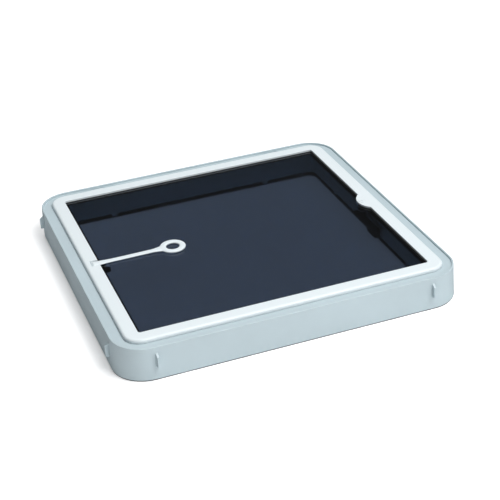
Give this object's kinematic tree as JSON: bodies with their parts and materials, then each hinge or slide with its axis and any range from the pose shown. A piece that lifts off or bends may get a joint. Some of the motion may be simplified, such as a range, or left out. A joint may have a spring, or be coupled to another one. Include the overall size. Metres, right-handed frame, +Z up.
{
  "type": "deck hatch",
  "caption": "Square surface-mount deck hatch: pale moulded base with a rain gutter, white hinged lid frame, smoked pane, ring pull and half-turn latches.",
  "frame": {"origin": "middle of the underside of the deck gasket, where the hatch rests on the deck", "axes": "+Z up, out of the deck; +Y towards the hinged edge; +X to the right, on the side with the half-round latch boss"},
  "size_m": [0.509, 0.509, 0.0524],
  "materials": {
    "base_plastic": "pale grey-green moulded acetal, satin",
    "lid_plastic": "white moulded plastic, semi-gloss",
    "bracket_plastic": "pale grey moulded plastic, satin",
    "smoked_acrylic": "dark smoked acrylic, polished",
    "gasket_rubber": "black neoprene",
    "black_plastic": "black glass-filled nylon",
    "handle_plastic": "dark grey-brown moulded nylon",
    "nylon": "natural nylon",
    "stainless": "stainless steel"
  },
  "bodies": {
    "base": {"base_frame": "base_plastic", "deck_gasket": "gasket_rubber", "hinge_bracket_left": "bracket_plastic", "hinge_bracket_right": "bracket_plastic", "hinge_pin_left": "stainless", "hinge_pin_right": "stainless", "hinge_screws": "stainless", "strike_plate_left": "stainless", "strike_plate_right": "stainless", "strike_screws": "stainless"},
    "lid": {"lid_frame": "lid_plastic", "pane": "smoked_acrylic", "glazing_seal": "gasket_rubber", "lid_gasket": "gasket_rubber", "pane_retainer_front": "black_plastic", "pane_retainer_rear": "black_plastic", "retainer_screws": "stainless", "hinge_bush_left": "nylon", "hinge_bush_right": "nylon", "latch_housing_left": "black_plastic", "latch_housing_right": "black_plastic", "housing_screws": "stainless", "pull_pin": "stainless", "spindle_seal": "gasket_rubber"},
    "ring_pull": {"ring_pull": "lid_plastic"},
    "latch_left": {"latch_spindle_left": "stainless", "latch_washer_left": "nylon", "latch_cam_left": "black_plastic", "latch_handle_left": "handle_plastic", "latch_screw_left": "stainless"},
    "latch_right": {"latch_spindle_right": "stainless", "latch_washer_right": "nylon", "latch_cam_right": "black_plastic", "latch_handle_right": "handle_plastic", "latch_screw_right": "stainless", "turn_cap": "lid_plastic"}
  },
  "joints": [
    {"name": "lid_hinge", "type": "hinge", "parent": "base", "child": "lid", "pos_m": [0, 0.239, 0.044], "axis": [-1, 0, 0], "range_deg": [0, 75]},
    {"name": "ring_pull_fold", "type": "hinge", "parent": "lid", "child": "ring_pull", "pos_m": [-0.2189, -0.005, 0.049], "axis": [0, -1, 0], "range_deg": [0, 90]},
    {"name": "latch_left_turn", "type": "hinge", "parent": "lid", "child": "latch_left", "pos_m": [-0.2065, 0, 0.03], "axis": [0, 0, 1], "range_deg": [0, 180]},
    {"name": "latch_right_turn", "type": "hinge", "parent": "lid", "child": "latch_right", "pos_m": [0.2065, 0, 0.03], "axis": [0, 0, -1], "range_deg": [0, 180]}
  ]
}
